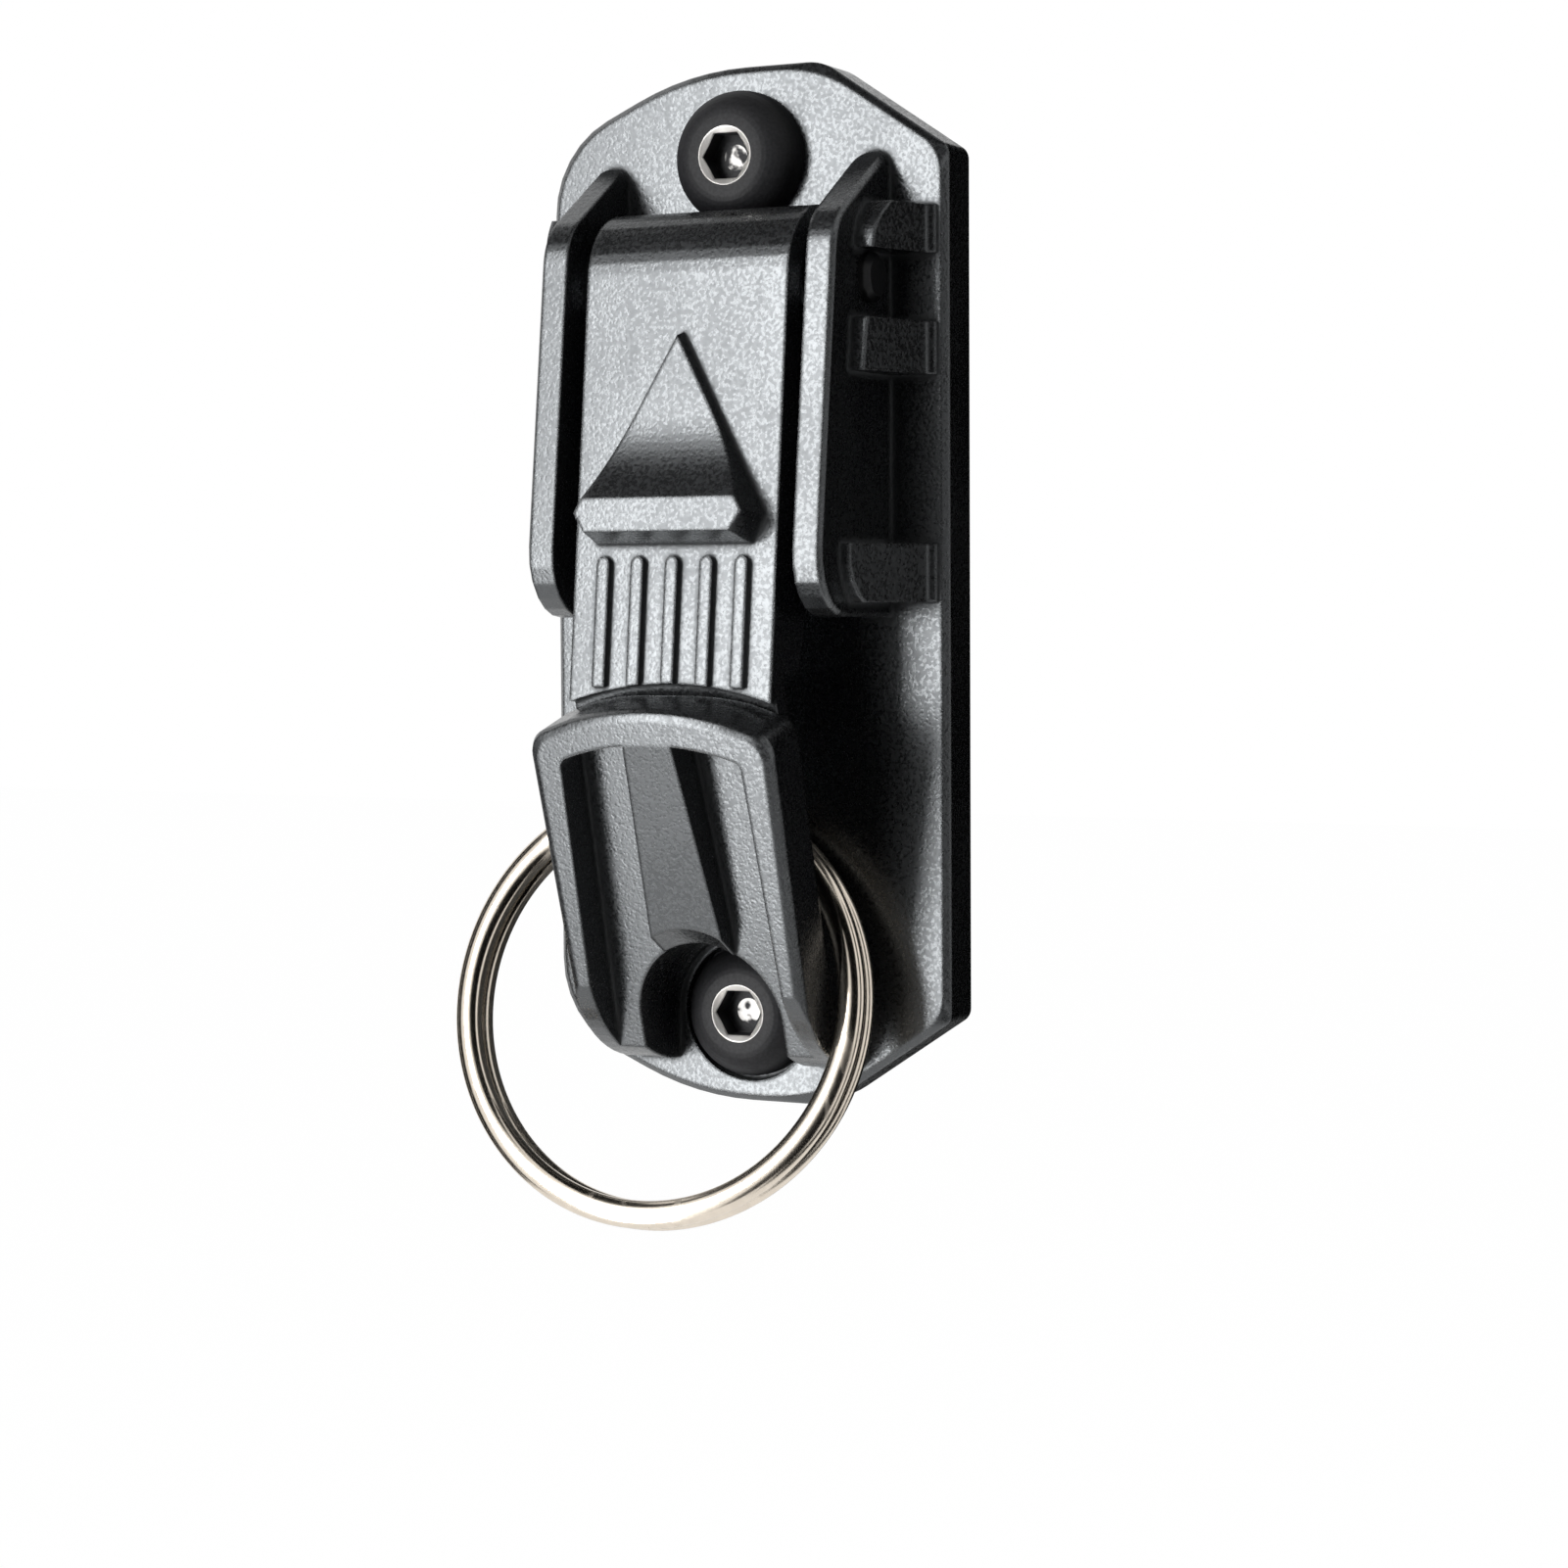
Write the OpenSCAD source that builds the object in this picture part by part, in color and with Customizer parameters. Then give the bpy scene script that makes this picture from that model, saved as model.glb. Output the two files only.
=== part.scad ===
// Belt key clip: a moulded front plate with a hook and a sprung thumb gate is
// clamped over a duty belt by two screws and a back plate, and a split ring
// hangs from the neck of the hook. +Z is up and the front faces -Y. The origin
// is the centre of the belt slot. Depths called "d" are measured forward from
// the front face of the front plate.

/* [Belt clamp] */
// Thickness of the belt slot between the two plates
belt_gap = 5.2; // [4:0.2:7]
// Distance between the upper and the lower clamp screw
screw_span = 66.8; // [64:0.2:69]

/* [Front plate] */
// Width of the front plate
plate_w = 34.5; // [34:0.1:38]
// Height of the front plate
plate_h = 81.2; // [81:0.2:90]
// Thickness of the front plate
plate_t = 4.3; // [3.6:0.1:6]
// Bevel around the front edge of the plate
plate_edge = 0.5; // [0.2:0.1:1]
// Half the level stretch at the top and bottom of the plate
crown_half = 6.6; // [5:0.1:8]
// Slope of the cut right-hand corners from the horizontal, in degrees
corner_slope = 33.9; // [30:0.5:40]
// Level stretch from the middle of the plate to its rounder left-hand corners
round_crown = 5; // [4.6:0.1:6]
// Slope of the rounder left-hand corners from the horizontal, in degrees
round_slope = 24; // [21:0.5:27]
// Depth of the seat sunk for the lower screw head
seat_depth = 1.2; // [0.6:0.1:2]

/* [Cheeks] */
// Width across the outer faces of the two cheeks
cheek_span = 25.1; // [24.5:0.1:26]
// Thickness of each cheek
cheek_t = 2.3; // [1.8:0.1:3]
// Depth of the cheeks at their foot
cheek_foot_d = 13.15; // [12:0.1:15]
// Depth of the cheeks at the bend near their head
cheek_head_d = 9.7; // [9:0.1:11]
// Height of the foot of the cheeks below the belt centre line
cheek_foot_drop = 2.2; // [0:0.1:4]
// Height of the bend near the head of the cheeks
cheek_bend_z = 27.3; // [26:0.1:29]
// Height of the top of the cheeks
cheek_top_z = 33.3; // [32.5:0.1:35]

/* [Hook] */
// Width of the hook
hook_w = 20.6; // [19.5:0.1:22]
// Thickness of the tongue of the hook
tongue_t = 4.8; // [4.2:0.1:5.4]
// Length of the tongue from the bend to its tip
tongue_l = 22.6; // [20:0.1:23]
// Forward lean of the tongue from the vertical, in degrees
tongue_lean = 16.8; // [14:0.2:20]
// Depth of the tray sunk into the face of the tongue
tray_depth = 3.4; // [2:0.1:3.6]
// Width of the rim around the tray
rim_w = 2.65; // [1.8:0.05:3.5]
// Radius of the rounded heel where the hook returns to the plate
heel_r = 12.2; // [11.5:0.1:13]
// Play between the ring and the neck that it hangs from
neck_gap = 1.05; // [0.6:0.05:1.6]
// Radius of the driver slot around the lower screw
driver_r = 6.2; // [5.8:0.1:6.6]

/* [Gate lever] */
// Play between the lever and each cheek
gate_play = 1.65; // [1.2:0.05:2]
// Radius of the rolled top of the lever around its hinge
roll_r = 5.65; // [5.4:0.05:5.8]
// Thickness of the skin of the lever
gate_skin = 2.2; // [1.8:0.1:2.6]
// Gap between the foot of the lever and the tip of the hook
mouth_gap = 1.97; // [1.2:0.01:3]
// Backward lean of the lever's face, in degrees
gate_lean = 6.05; // [5:0.05:7]
// Height of the arrow's ledge above the face of the lever
arrow_h = 3.25; // [2:0.05:4]
// Number of raised grip ribs
rib_count = 5; // [3:1:5]
// Distance between neighbouring grip ribs
rib_pitch = 2.95; // [2.4:0.05:3.2]
// Width of a grip rib
rib_w = 1.05; // [0.8:0.05:1.4]
// Height of a grip rib
rib_h = 0.5; // [0.3:0.05:0.8]

/* [Hinge and spring] */
// Radius of the hinge pin
pin_r = 1.5; // [1.2:0.05:1.7]
// Height of the hinge pin
pin_z = 23.4; // [22.8:0.1:23.6]
// Depth of the hinge pin in front of the plate
pin_d = 4; // [3.95:0.05:4.6]
// Thickness of the spring wire
spring_wire = 0.7; // [0.5:0.05:0.8]
// Number of whole turns of the torsion spring
spring_turns = 3; // [2:1:4]

/* [Split ring] */
// Outer diameter of the split ring
ring_d = 35; // [34:0.5:36]
// Width of the ring's wire across the band
ring_wire_w = 2.2; // [1.8:0.1:2.4]
// Thickness of one coil of the ring
ring_wire_t = 1.4; // [1.2:0.1:1.5]
// Distance between the middles of the two coils
ring_pitch = 1.85; // [1.8:0.05:2]

/* [Fasteners and back plate] */
// Radius of the screw heads
head_r = 5.25; // [4.8:0.05:5.4]
// Height of the screw heads
head_h = 3.3; // [2.8:0.1:3.6]
// Radius of the screw shanks
shank_r = 2.9; // [2.6:0.05:3]
// Width of the hexagon socket across its flats
socket_af = 3.5; // [3:0.1:4.2]
// Length of the upper screw under its head
upper_screw_l = 14; // [13:0.5:14]
// Length of the lower screw under its head
lower_screw_l = 12; // [11:0.5:12]
// Width of the back plate
back_w = 23; // [20:0.5:24]
// Height of the back plate
back_h = 76.5; // [74:0.5:80]
// Thickness of the back plate
back_t = 5; // [4.8:0.1:6]
// Outer radius of the spacers that set the belt slot
spacer_r = 4.5; // [4.1:0.1:4.6]
// Outer radius of the threaded inserts
insert_r = 4; // [3.6:0.05:4.4]

/* [Hidden] */

$fn = 64;
arc_steps = 6;
overrun = 0.5;

moulding_color = [0.17, 0.17, 0.18];
black_steel_color = [0.1, 0.1, 0.11];
nickel_color = [0.78, 0.77, 0.74];
brass_color = [0.76, 0.6, 0.32];
zinc_color = [0.66, 0.67, 0.69];

front_y = -belt_gap / 2 - plate_t;
screw_z = screw_span / 2;
screw_clear = 0.3;
shank_hole_r = shank_r + screw_clear;

plate_corner_r = 3.3;
plate_top_r = 12;
plate_foot_r = 18;
plate_round_side_r = 8;
plate_round_crown_r = 24;
plate_back_share = 0.35;
corner_line = crown_half * sin(corner_slope) + plate_h / 2 * cos(corner_slope);
round_line = round_crown * sin(round_slope) + plate_h / 2 * cos(round_slope);
seat_clear = 0.35;

cheek_in = cheek_span / 2 - cheek_t;
cheek_edge = 0.3;
cheek_tip_d = 0.5;
cheek_bend_r = 4;
cheek_foot_r = 4.6;
cheek_tip_r = 0.8;
cheek_crown_share = 0.45;

lug_ranges_z = [[25.4, 29], [16.2, 20.2], [-1.1, 3.3]];
lug_setback = 3.3;
lug_foot = 3.9;
lug_step = 0.75;
lug_bevel = 0.6;
lug_flare_d = 9.4;

boss_r = 3;
gate_side_gap = 0.25;

heel_z = -25.2;
heel_angle = 27;
bend_d = heel_r * cos(heel_angle);
bend_z = heel_z - heel_r * sin(heel_angle);
foot_z = heel_z - heel_r;
tongue_crown_r = 25;
tongue_corner_r = 1.8;
tongue_tip_r = 1.2;
tongue_nose_r = 0.3;
tongue_ease = 0.7;
tongue_ease_share = 0.3;
hook_taper = 0.6;
neck_foot_z = -31.2;
neck_d = 9;
tray_crown_r = tongue_crown_r - rim_w;
tray_corner_r = 0.8;
tray_foot_spread = 0.7;
spine_tip_half = 2;
spine_foot_half = 3.05;
spine_foot_v = 4.2;
spine_fall = 1.45;
spine_chamfer_d = 8.5;
spine_chamfer_rise = 2.4;
spine_chamfer_end_d = spine_chamfer_d + spine_chamfer_rise;
spine_chamfer_r = 7.55;

hinge_y = front_y - pin_d;
pin_clear = 0.05;
pin_seat_clear = 0.02;
pin_head_r = 1.9;
pin_head_t = 0.85;
hub_r = 3.5;
hub_end_gap = 0.3;
roll_end = 104;
gate_w = 2 * (cheek_in - gate_play);
gate_arch_rise = 1.4;
gate_arch_r = 26.5;
tip_z = bend_z + tongue_l * cos(tongue_lean);
gate_drop = pin_z + roll_r * sin(gate_lean) - tip_z - mouth_gap;
gate_l = gate_drop / cos(gate_lean) + gate_arch_rise;
flange_t = 1.6;
flange_top_drop = 3.4;
flange_top_z = pin_z - flange_top_drop;
flange_foot_rise = 2.6;
flange_foot_z = tip_z + flange_foot_rise;
flange_heel_d = 0.6;
flange_fall_share = 0.25;
lip_gap = 0.35;
lip_t = 1.9;
lip_lap = 4;
lip_rise = 0.6;
lip_foot_v = tongue_l - lip_lap;
lip_head_v = tongue_l + lip_rise;
relief_clear = 0.55;
relief_d = 3.8;

arrow_tip_s = 4.65;
arrow_top_tip_s = 5.9;
arrow_foot_outline = [[7, -17.5], [7.6, -18.5], [6.6, -20.8]];
arrow_top_outline = [[6.4, -17.6], [7.1, -18.7], [6.2, -20.1]];
arrow_low_h = 1.1;
arrow_ply = 0.01;
arrow_swoop_s = 10.8;
arrow_ledge_s = 17.6;
arrow_heel_s = 20.1;
arrow_heel_foot_s = 20.8;
arrow_rise = arrow_h - arrow_low_h;
arrow_run = arrow_ledge_s - arrow_swoop_s;
arrow_swoop_r = (arrow_run * arrow_run + arrow_rise * arrow_rise) / arrow_rise / 2;
arrow_swoop_turn = asin(arrow_run / arrow_swoop_r);
grip_top_s = 21.7;
grip_foot_margin = 1.1;
grip_foot_s = gate_l - grip_foot_margin;
grip_sink = 0.3;

coil_clear = 0.6;
coil_mean_r = pin_r + coil_clear + spring_wire / 2;
spring_pitch = 1.25;
spring_rings = 24;
spring_coils = spring_turns + 1 / 2;
spring_half = spring_coils * spring_pitch / 2;
spring_leg = 10.8;
spring_rest_gap = 0.05;

ring_mid_r = ring_d / 2 - ring_wire_w / 2;
ring_inner_r = ring_d / 2 - ring_wire_w;
ring_side_gap = 0.3;
ring_x = hook_w / 2 + ring_side_gap - ring_inner_r;
ring_centre_d = 6;
ring_z = -32.5;
ring_tilt = 13.5;
ring_yaw = 3.3;
ring_joint_angle = 161;
ring_joint_half = 14;
ring_end_angle = 8;
ring_steps = 72;
ring_bevel = 0.4;

socket_depth = 2;
socket_mouth_rise = 0.5;
socket_mouth_r = socket_af / 2 + socket_mouth_rise;
socket_mouth_depth = 0.35;
head_rim_h = 0.5;
head_flat_r = 2.8;
head_dome_steps = 10;
screw_tip = 0.6;

back_edge = 0.8;
back_crown_half = 4.5;
back_corner_slope = 34;
back_corner_r = 3;
insert_clear = 0.02;
insert_bore_clear = 0.1;
insert_groove_depth = 0.35;
insert_groove_w = 0.8;

function unit_of(v) = v / norm(v);

// Points of one polygon corner, rounded to radius r.
function corner(before, p, after, r) =
    r <= 0 ? [p] :
    let (
        u = unit_of(before - p),
        v = unit_of(after - p),
        half = acos(u * v) / 2,
        centre = p + unit_of(u + v) * r / sin(half),
        a = p + u * r / tan(half) - centre,
        b = p + v * r / tan(half) - centre,
        from = atan2(a.y, a.x),
        turn = atan2(a.x * b.y - a.y * b.x, a * b)
    )
    [for (i = [0 : arc_steps]) let (a = from + turn * i / arc_steps) centre + r * [cos(a), sin(a)]];

// A closed outline with each corner rounded to its own radius.
function rounded(points, radii) =
    let (n = len(points))
    [for (i = [0 : n - 1]) each corner(points[(i + n - 1) % n], points[i], points[(i + 1) % n], radii[i])];

function arc_points(centre, r, from, to, steps) =
    [for (i = [0 : steps]) let (a = from + (to - from) * i / steps) centre + r * [cos(a), sin(a)]];

function mirrored(points) = [for (i = [len(points) - 1 : -1 : 0]) [-points[i].x, points[i].y]];

// A side profile of depths and heights, extruded across the width.
module across(w) {
    translate([-w / 2, front_y, 0])
        rotate([90, 0, 90])
            linear_extrude(w)
                mirror([1, 0])
                    children();
}

// A front view outline, extruded forward from depth d0 to depth d1.
module forward(d0, d1) {
    translate([0, front_y - d0, 0])
        rotate([90, 0, 0])
            linear_extrude(d1 - d0)
                children();
}

// A plan of widths and depths, extruded upward from z0 to z1.
module upward(z0, z1) {
    translate([0, front_y, z0])
        linear_extrude(z1 - z0)
            mirror([0, 1])
                children();
}

// A round bar or hole that runs forward from depth d0 to depth d1.
module bar_forward(r0, r1, z, d0, d1) {
    translate([0, front_y - d0, z])
        rotate([90, 0, 0])
            cylinder(h = d1 - d0, r1 = r0, r2 = r1);
}

// A round bar or hole on the hinge line from x0 to x1.
module bar_across(r, x0, x1) {
    translate([x0, hinge_y, pin_z])
        rotate([0, 90, 0])
            cylinder(h = x1 - x0, r = r);
}

// The frame of the tongue: Y runs up its face and Z out of it.
module on_tongue() {
    translate([0, front_y - bend_d, bend_z])
        rotate([90 + tongue_lean, 0, 0])
            children();
}

// The frame of the lever: the hinge is its origin, Y up and Z out of the face.
module on_gate() {
    translate([0, hinge_y, pin_z])
        rotate([90 - gate_lean, 0, 0])
            children();
}

// A side profile of that frame's Y and Z, extruded across the width.
module slab(w) {
    translate([-w / 2, 0, 0])
        rotate([90, 0, 90])
            linear_extrude(w)
                children();
}

module both_sides() {
    children();
    mirror([1, 0, 0])
        children();
}

// Sweeps a section along a path. The second section axis stays close to side.
module swept(path, section, side) {
    count = len(path);
    sides = len(section);
    points = [
        for (i = [0 : count - 1])
            let (
                along = unit_of(path[min(i + 1, count - 1)] - path[max(i - 1, 0)]),
                b = unit_of(side - (side * along) * along),
                a = cross(b, along)
            )
            for (s = section) path[i] + a * s.x + b * s.y
    ];
    walls = [
        for (i = [0 : count - 2], k = [0 : sides - 1])
            let (
                p = i * sides + k,
                q = i * sides + (k + 1) % sides
            )
            each [[p, p + sides, q], [q, p + sides, q + sides]]
    ];
    first = [for (k = [1 : sides - 2]) [0, k, k + 1]];
    last_base = (count - 1) * sides;
    last = [for (k = [1 : sides - 2]) [last_base, last_base + k + 1, last_base + k]];
    polyhedron(points = points, faces = concat(walls, first, last), convexity = 8);
}

// Both ends of the sloping edge that cuts a corner: on the side and on the top.
function cut_ends(half_w, half_h, line, slope) = [
    [half_w, (line - half_w * sin(slope)) / cos(slope)],
    [(line - half_h * cos(slope)) / sin(slope), half_h]
];

// The outline of the front plate, drawn in by the given inset. The cut corners
// on the right are rounded to the given share of their radii.
function plate_outline(inset, round_share) =
    let (
        half_w = plate_w / 2 - inset,
        half_h = plate_h / 2 - inset,
        right = cut_ends(half_w, half_h, corner_line - inset, corner_slope),
        left = cut_ends(half_w, half_h, round_line - inset, round_slope)
    )
    rounded(
        [
            [right[1].x, -right[1].y], [right[0].x, -right[0].y], right[0], right[1],
            [-left[1].x, left[1].y], [-left[0].x, left[0].y], -left[0], -left[1]
        ],
        concat(
            round_share * [plate_foot_r, plate_corner_r, plate_corner_r, plate_top_r],
            [plate_round_crown_r, plate_round_side_r, plate_round_side_r, plate_round_crown_r]
        )
    );

module plate_blank() {
    hull() {
        forward(-plate_t, -plate_edge)
            polygon(plate_outline(0, plate_back_share));
        forward(-plate_t, 0)
            polygon(plate_outline(plate_edge, 1));
    }
}

// The side profile of a cheek, drawn back by setback and in by inset.
function cheek_profile(setback, inset) =
    rounded(
        [
            [-overrun, inset - cheek_foot_drop],
            [cheek_foot_d - setback - inset, inset - cheek_foot_drop],
            [cheek_head_d - setback - inset, cheek_bend_z - inset],
            [max(cheek_tip_d - setback - inset, 0), cheek_top_z - inset],
            [-overrun, cheek_top_z - inset]
        ],
        [0, cheek_foot_r, cheek_bend_r, cheek_tip_r * (setback > 0 ? 0 : 1), 0]
    );

// The front view of a cheek, with a rounded head.
module cheek_front() {
    wall = cheek_span / 2;
    foot = -2 * cheek_foot_drop;
    crown_r = cheek_crown_share * cheek_t;
    polygon(rounded(
        [[cheek_in, foot], [wall, foot], [wall, cheek_top_z], [cheek_in, cheek_top_z]],
        [0, 0, crown_r, crown_r]
    ));
}

module cheek() {
    middle = (cheek_in + cheek_span / 2) / 2;
    intersection() {
        hull() {
            translate([middle - cheek_edge / 2, 0, 0])
                across(cheek_t - cheek_edge)
                    polygon(cheek_profile(0, 0));
            translate([middle, 0, 0])
                across(cheek_t)
                    polygon(cheek_profile(0, cheek_edge));
        }
        forward(-overrun, 2 * cheek_foot_d)
            cheek_front();
    }
}

// The plan of a buttress lug, from inside the cheek out to its bevelled foot.
function lug_plan() =
    let (
        wall = cheek_span / 2,
        foot = wall + lug_foot
    )
    [
        [wall - overrun, -overrun],
        [foot, -overrun],
        [foot, lug_bevel / 2],
        [foot - lug_bevel, lug_bevel],
        [wall + lug_step, lug_flare_d],
        [wall + lug_step, cheek_foot_d],
        [wall - overrun, cheek_foot_d]
    ];

module lugs() {
    for (z = lug_ranges_z)
        intersection() {
            upward(z[0], z[1])
                polygon(lug_plan());
            translate([cheek_span / 2, 0, 0])
                across(plate_w)
                    polygon(cheek_profile(lug_setback, 0));
        }
}

module hinge_boss() {
    bar_across(boss_r, gate_w / 2 + gate_side_gap, cheek_in + overrun);
}

function tongue_point(v, w) =
    [
        bend_d + v * sin(tongue_lean) + w * cos(tongue_lean),
        bend_z + v * cos(tongue_lean) - w * sin(tongue_lean)
    ];

// Depth of the plane w behind the tongue's face, at height z.
function tongue_depth_at(z, w) =
    bend_d + w / cos(tongue_lean) + (z - bend_z) * tan(tongue_lean);

// The side profile of the hook: heel, face, tip and back down to the neck.
function hook_profile() =
    let (
        heel = arc_points([0, heel_z], heel_r, -90, -heel_angle, 2 * arc_steps),
        nose = tongue_point(tongue_l, 0),
        tip = tongue_point(tongue_l, -tongue_t),
        root = [tongue_depth_at(neck_foot_z, -tongue_t), neck_foot_z]
    )
    rounded(
        concat([[-overrun, foot_z]], heel, [nose, tip, root, [-overrun, neck_foot_z]]),
        concat([0], [for (p = heel) 0], [tongue_nose_r, tongue_tip_r, 0, 0])
    );

// A crowned outline: a crown of radius r at height top over straight sides.
function crowned(half_w, top, r, corner_round, foot_half, foot) =
    let (
        drop = r - sqrt(r * r - half_w * half_w),
        span = asin((half_w - 2 * corner_round) / r),
        crown = arc_points([0, top - r], r, 90 + span, 90 - span, 2 * arc_steps)
    )
    rounded(
        concat(
            [[-foot_half, foot], [-half_w, top - drop]],
            crown,
            [[half_w, top - drop], [foot_half, foot]]
        ),
        concat([0, corner_round], [for (p = crown) 0], [corner_round, 0])
    );

// The outline of the tongue up to level w of its face, drawn in by the inset.
module tongue_layer(w, inset) {
    half = hook_w / 2 - inset;
    translate([0, 0, -hook_w])
        linear_extrude(hook_w + w)
            polygon(crowned(
                half, tongue_l - inset, tongue_crown_r - inset, tongue_corner_r,
                half - hook_taper, -hook_w
            ));
}

// The hook with its front edges eased in two steps around the tongue's face.
module tongue_blank() {
    step = tongue_ease_share * tongue_ease;
    slope = (tongue_ease - step) / step;
    intersection() {
        across(hook_w)
            polygon(hook_profile());
        on_tongue()
            hull() {
                tongue_layer(-tongue_ease, 0);
                tongue_layer(-step, step);
                tongue_layer(overrun, tongue_ease + slope * overrun);
            }
    }
}

// The neck's pointed arch: each flank follows the ring when it swings that way.
function neck_outline() =
    let (
        r = ring_inner_r - neck_gap,
        foot = asin((neck_foot_z - ring_z) / r),
        crown = acos(-ring_x / r),
        right = arc_points([ring_x, ring_z], r, foot, crown, 2 * arc_steps),
        left = mirrored(right),
        n = len(right)
    )
    concat(
        [[right[0].x, foot_z + heel_r / 2]],
        [for (i = [0 : n - 2]) right[i]],
        [[0, right[n - 1].y]],
        [for (i = [1 : n - 1]) left[i]],
        [[left[n - 1].x, foot_z + heel_r / 2]]
    );

module neck() {
    forward(-overrun, neck_d)
        polygon(neck_outline());
}

// The raised spine left standing in the tray, which sinks towards the heel.
module spine() {
    tip_v = tongue_l - rim_w;
    slope = spine_fall / (tip_v - spine_foot_v);
    low_v = -tongue_l;
    low_w = -slope * (tip_v - low_v);
    spread = (spine_foot_half - spine_tip_half) / (tip_v - spine_foot_v);
    low_half = spine_foot_half;
    intersection() {
        translate([0, 0, -tray_depth - overrun])
            linear_extrude(2 * tongue_t)
                polygon([
                    [-low_half, low_v],
                    [low_half, low_v],
                    [spine_foot_half, spine_foot_v],
                    [spine_tip_half, tip_v + overrun],
                    [-spine_tip_half, tip_v + overrun],
                    [-spine_foot_half, spine_foot_v]
                ]);
        slab(hook_w)
            polygon([
                [low_v, -2 * tongue_t],
                [tip_v + overrun, -2 * tongue_t],
                [tip_v + overrun, 0],
                [tip_v, 0],
                [low_v, low_w]
            ]);
    }
}

module tray() {
    half = hook_w / 2 - rim_w;
    on_tongue()
        difference() {
            translate([0, 0, -tray_depth])
                linear_extrude(2 * tray_depth)
                    polygon(crowned(
                        half, tongue_l - rim_w, tray_crown_r, tray_corner_r,
                        half + 2 * tray_foot_spread, -tongue_l
                    ));
            spine();
        }
}

// The slot that lets the lower screw and its driver in past the heel.
module driver_slot() {
    forward(0, 2 * heel_r) {
        translate([0, -screw_z])
            circle(r = driver_r);
        translate([-driver_r, -screw_z - heel_r])
            square([2 * driver_r, heel_r]);
    }
    bar_forward(driver_r, spine_chamfer_r, -screw_z, spine_chamfer_d, spine_chamfer_end_d);
    bar_forward(spine_chamfer_r, spine_chamfer_r, -screw_z, spine_chamfer_end_d, 2 * heel_r);
}

module hook() {
    difference() {
        union() {
            tongue_blank();
            neck();
        }
        tray();
        driver_slot();
    }
}

module front_body() {
    color(moulding_color)
        difference() {
            union() {
                plate_blank();
                both_sides() {
                    cheek();
                    lugs();
                    hinge_boss();
                }
                hook();
            }
            bar_forward(shank_hole_r, shank_hole_r, screw_z, -plate_t - overrun, overrun);
            bar_forward(shank_hole_r, shank_hole_r, -screw_z, -plate_t - overrun, overrun);
            bar_forward(head_r + seat_clear, head_r + seat_clear, -screw_z, -seat_depth, overrun);
            bar_across(pin_r + pin_seat_clear, -cheek_span, cheek_span);
        }
}

// The skin of the lever: a flat face that rolls back over the hinge.
module gate_shell() {
    inner_r = roll_r - gate_skin;
    outer = arc_points([0, 0], roll_r, 90, 90 - roll_end, 2 * arc_steps);
    inner = arc_points([0, 0], inner_r, 90 - roll_end, 90, 2 * arc_steps);
    on_gate()
        difference() {
            slab(gate_w)
                polygon(concat([[-gate_l, roll_r]], outer, inner, [[-gate_l, inner_r]]));
            translate([0, -(gate_l - gate_arch_rise) - gate_arch_r, 0])
                cylinder(h = 2 * roll_r, r = gate_arch_r, $fn = 128);
        }
}

// The lip at the foot of the lever, which closes the throat behind the tip.
module gate_lip() {
    front_w = -tongue_t - lip_gap;
    across(gate_w)
        polygon([
            tongue_point(lip_foot_v, front_w),
            tongue_point(lip_head_v, front_w),
            tongue_point(lip_head_v, front_w - lip_t),
            tongue_point(lip_foot_v, front_w - lip_t)
        ]);
}

function flange_back(z) = flange_heel_d + flange_fall_share * (pin_z - z);

function gate_face_depth(z) = pin_d + roll_r / cos(gate_lean) + (pin_z - z) * tan(gate_lean);

module gate_flange() {
    inset = gate_skin / 2;
    translate([(gate_w - flange_t) / 2, 0, 0])
        across(flange_t)
            polygon([
                [flange_back(flange_top_z), flange_top_z],
                [gate_face_depth(flange_top_z) - inset, flange_top_z],
                [gate_face_depth(flange_foot_z) - inset, flange_foot_z],
                [flange_back(flange_foot_z), flange_foot_z]
            ]);
}

module gate_hub() {
    bar_across(hub_r, spring_half + spring_pitch / 4 + spring_wire / 2 + hub_end_gap, gate_w / 2);
}

// The front view of the arrow: its tip, then one side and the other.
function arrow_outline(tip_s, flank) = concat([[0, -tip_s]], flank, mirrored(flank));

// The raised arrow: a low tip that swoops up to a ledge, with drafted sides.
module gate_arrow() {
    base = roll_r - gate_skin / 2;
    swoop = [
        for (i = [0 : 2 * arc_steps])
            let (a = arrow_swoop_turn * i / arc_steps / 2)
            [
                -arrow_swoop_s - arrow_swoop_r * sin(a),
                roll_r + arrow_low_h + arrow_swoop_r * (1 - cos(a))
            ]
    ];
    on_gate()
        intersection() {
            hull() {
                translate([0, 0, base])
                    linear_extrude(gate_skin / 2)
                        polygon(arrow_outline(arrow_tip_s, arrow_foot_outline));
                translate([0, 0, roll_r + arrow_h])
                    linear_extrude(arrow_ply)
                        polygon(arrow_outline(arrow_top_tip_s, arrow_top_outline));
            }
            slab(gate_w)
                polygon(concat(
                    [[-arrow_heel_foot_s, base], [-arrow_tip_s, base]],
                    [[-arrow_tip_s, roll_r + arrow_low_h]],
                    swoop,
                    [[-arrow_heel_s, roll_r + arrow_h], [-arrow_heel_foot_s, roll_r]]
                ));
        }
}

module gate_ribs() {
    first = -(rib_count - 1) / 2 * rib_pitch;
    on_gate()
        for (i = [0 : rib_count - 1])
            translate([first + i * rib_pitch, 0, roll_r - grip_sink])
                linear_extrude(grip_sink + rib_h) {
                    translate([0, -grip_top_s - rib_w / 2])
                        circle(r = rib_w / 2, $fn = 32);
                    translate([-rib_w / 2, -grip_foot_s])
                        square([rib_w, grip_foot_s - grip_top_s - rib_w / 2]);
                }
}

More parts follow.
